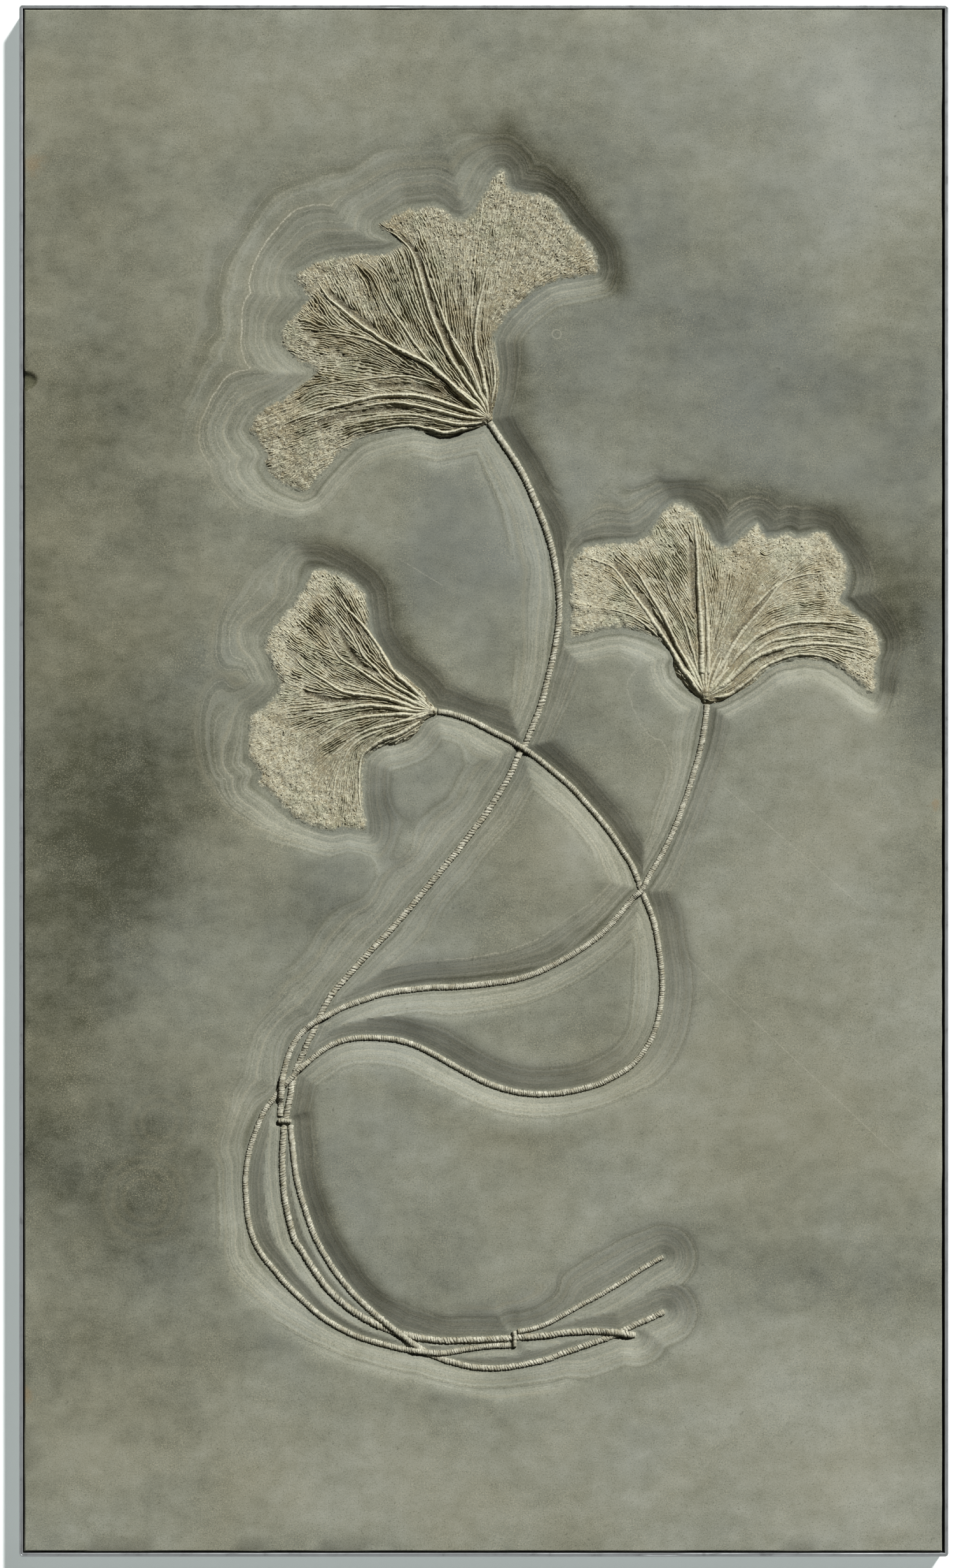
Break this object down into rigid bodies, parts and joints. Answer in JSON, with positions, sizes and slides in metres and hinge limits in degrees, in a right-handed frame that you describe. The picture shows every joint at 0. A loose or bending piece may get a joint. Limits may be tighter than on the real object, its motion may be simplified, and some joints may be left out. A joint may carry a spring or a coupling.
{
  "type": "fossil crinoid plate",
  "caption": "Framed shale slab lying on its back, with sea lilies in relief in a ground hollow: fan-shaped crowns on long, looping, crossing stems.",
  "frame": {"origin": "centre of the frame's footprint, on the plane its back flange lies on", "axes": "+Z out of the slab's face, +Y towards the top of the plate as it hangs, +X to the right as it is looked at"},
  "size_m": [1.2144, 2.0274, 0.045],
  "materials": {
    "shale": "ground and brushed grey-green shale, matt, with pale bedding lines where the hollow cuts them",
    "frame_metal": "plain grey steel angle, satin",
    "crown_calcite": "matt tan calcite, finely ribbed",
    "stem_calcite": "matt pale calcite, ringed by its discs"
  },
  "bodies": {
    "root": {"slab": "shale", "frame": "frame_metal", "crown_upper": "crown_calcite", "crown_left": "crown_calcite", "crown_right": "crown_calcite", "stem_upper": "stem_calcite", "stem_left": "stem_calcite", "stem_left_end": "stem_calcite", "stem_right": "stem_calcite", "stem_right_end": "stem_calcite", "ossicle_upper": "stem_calcite", "ossicle_lower": "stem_calcite"}
  },
  "joints": []
}
